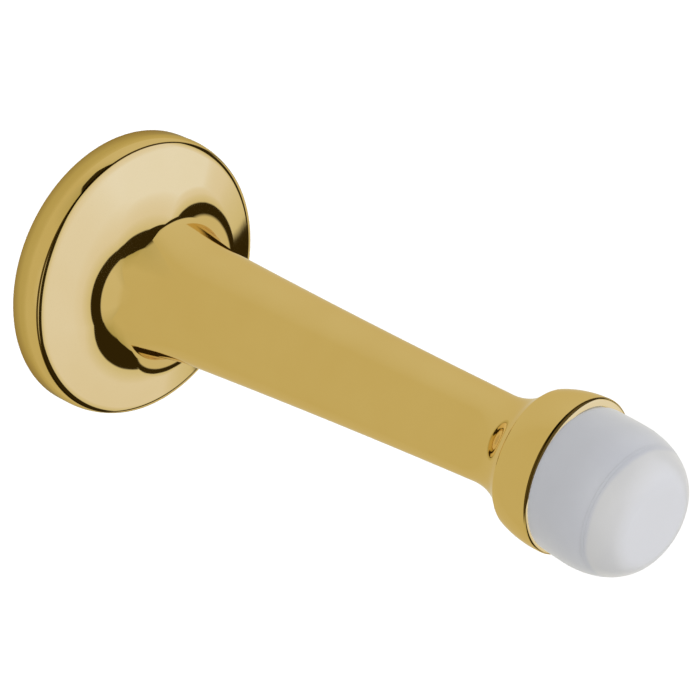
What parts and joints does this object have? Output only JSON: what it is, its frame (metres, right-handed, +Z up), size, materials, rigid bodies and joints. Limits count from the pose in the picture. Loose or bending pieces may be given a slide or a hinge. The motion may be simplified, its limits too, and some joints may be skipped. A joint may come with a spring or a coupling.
{
  "type": "wall bumper door stop",
  "caption": "Turned brass wall door stop: round rose, tapered post and cup collar holding a soft rubber tip.",
  "frame": {"origin": "centre of the rose's back, on the wall plane and on the post's axis", "axes": "+Y points into the wall along the post's axis, so the tip is at -Y; +Z is up"},
  "size_m": [0.0412, 0.0955, 0.0412],
  "materials": {
    "polished_brass": "polished and lacquered",
    "grey_rubber": "smooth moulded, satin"
  },
  "bodies": {
    "root": {"stop_body": "polished_brass", "rubber_tip": "grey_rubber"}
  },
  "joints": []
}
